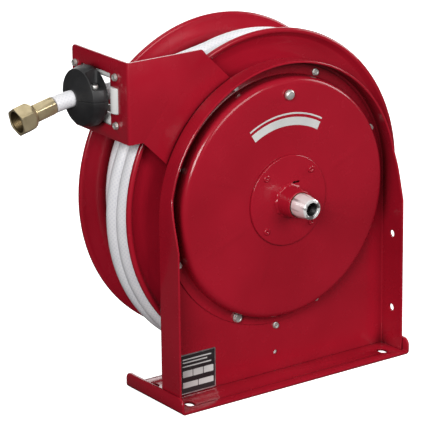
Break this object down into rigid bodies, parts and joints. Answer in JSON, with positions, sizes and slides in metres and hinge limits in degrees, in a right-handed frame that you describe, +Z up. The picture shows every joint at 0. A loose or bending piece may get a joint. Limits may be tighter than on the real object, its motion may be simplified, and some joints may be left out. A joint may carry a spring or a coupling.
{
  "type": "hose reel",
  "caption": "Spring-retracted hose reel on a single pedestal, with a spool, a round spring cover, a roller guide and a threaded hose end.",
  "frame": {"origin": "centre of the base plate's underside", "axes": "+Z up; the spool's axis is along Y with the water inlet facing -Y; the hose leaves towards -X"},
  "size_m": [0.5219, 0.2076, 0.4323],
  "materials": {
    "red_paint": "gloss",
    "zinc": "satin",
    "steel": "polished",
    "spring_steel": "satin",
    "brass": "satin",
    "bronze": "matte",
    "hose": "satin",
    "nylon": "satin",
    "black_rubber": "matte",
    "plate": "satin"
  },
  "bodies": {
    "frame": {"base_plate": "red_paint", "upright_frame": "red_paint", "data_plate": "plate", "spring_cover": "red_paint", "hub_plate": "red_paint", "hub_rivet_1": "red_paint", "hub_rivet_2": "red_paint", "hub_rivet_3": "red_paint", "hub_rivet_4": "red_paint", "cover_screw_1": "zinc", "cover_screw_2": "zinc", "cover_screw_3": "zinc", "cover_screw_4": "zinc", "cover_screw_5": "zinc", "cover_screw_6": "zinc", "cover_screw_7": "zinc", "spring_anchor_bolt": "zinc", "power_spring": "spring_steel", "front_bearing": "bronze", "panel_bearing": "bronze", "pawl_pivot_bolt": "zinc", "pawl_spring_post": "zinc", "pawl_spring": "spring_steel", "guide_arm": "red_paint", "roller_frame": "zinc", "guide_bolt_1": "zinc", "guide_bolt_2": "zinc", "guide_bolt_3": "zinc", "guide_bolt_4": "zinc", "hose_outer_turns": "hose", "hose_lead": "hose"},
    "spool": {"main_shaft": "steel", "spring_arbor": "steel", "front_disc": "red_paint", "rear_disc": "red_paint", "spool_hub": "red_paint", "drum": "red_paint", "hose_layers": "hose", "tie_bolt_1": "zinc", "tie_bolt_2": "zinc", "tie_bolt_3": "zinc", "ratchet_ring": "steel", "hose_elbow": "brass", "shaft_nut": "zinc"},
    "latch": {"latch_pawl": "steel"},
    "bottom_roller": {"roller_bottom": "nylon"},
    "top_roller": {"roller_top": "nylon"},
    "front_roller": {"roller_front": "nylon"},
    "rear_roller": {"roller_rear": "nylon"},
    "hose_end": {"stop_upper": "black_rubber", "stop_lower": "black_rubber", "stop_screw_1": "zinc", "stop_screw_2": "zinc", "hose_stub": "hose", "ferrule": "brass", "hose_stem": "brass", "hose_washer": "black_rubber"},
    "end_nut": {"swivel_nut": "brass"},
    "inlet": {"inlet_swivel": "steel"}
  },
  "joints": [
    {"name": "spool_turn", "type": "hinge", "parent": "frame", "child": "spool", "pos_m": [0, 0.06, 0.2303], "axis": [0, -1, 0], "range_deg": [0, 540], "stiffness_Nm_per_rad": 0.1, "springref_deg": -1718.87},
    {"name": "hose_pull", "type": "slide", "parent": "frame", "child": "hose_end", "axis": [-1, 0, 0], "range_m": [0, 1.735]},
    {"name": "latch_turn", "type": "hinge", "parent": "frame", "child": "latch", "pos_m": [-0.0597, 0.004, 0.08618], "axis": [0, 1, 0], "range_deg": [0, 22], "stiffness_Nm_per_rad": 0.05, "springref_deg": -20.05},
    {"name": "bottom_roller_turn", "type": "hinge", "parent": "frame", "child": "bottom_roller", "pos_m": [-0.1966, 0.05955, 0.3471], "axis": [0, 1, 0], "continuous": true},
    {"name": "top_roller_turn", "type": "hinge", "parent": "frame", "child": "top_roller", "pos_m": [-0.1966, 0.05955, 0.4053], "axis": [0, 1, 0], "continuous": true},
    {"name": "front_roller_turn", "type": "hinge", "parent": "frame", "child": "front_roller", "pos_m": [-0.2012, 0.02135, 0.3762], "axis": [0, 0, 1], "continuous": true},
    {"name": "rear_roller_turn", "type": "hinge", "parent": "frame", "child": "rear_roller", "pos_m": [-0.2012, 0.09775, 0.3762], "axis": [0, 0, 1], "continuous": true},
    {"name": "nut_turn", "type": "hinge", "parent": "hose_end", "child": "end_nut", "pos_m": [-0.30059, 0.05955, 0.36415], "axis": [-0.972, 0, -0.2348], "continuous": true},
    {"name": "inlet_turn", "type": "hinge", "parent": "frame", "child": "inlet", "pos_m": [0, -0.07, 0.2303], "axis": [0, -1, 0], "continuous": true}
  ],
  "couplings": [
    {"joint": "hose_pull", "follows": "spool_turn", "m_per_rad": 0.184}
  ]
}
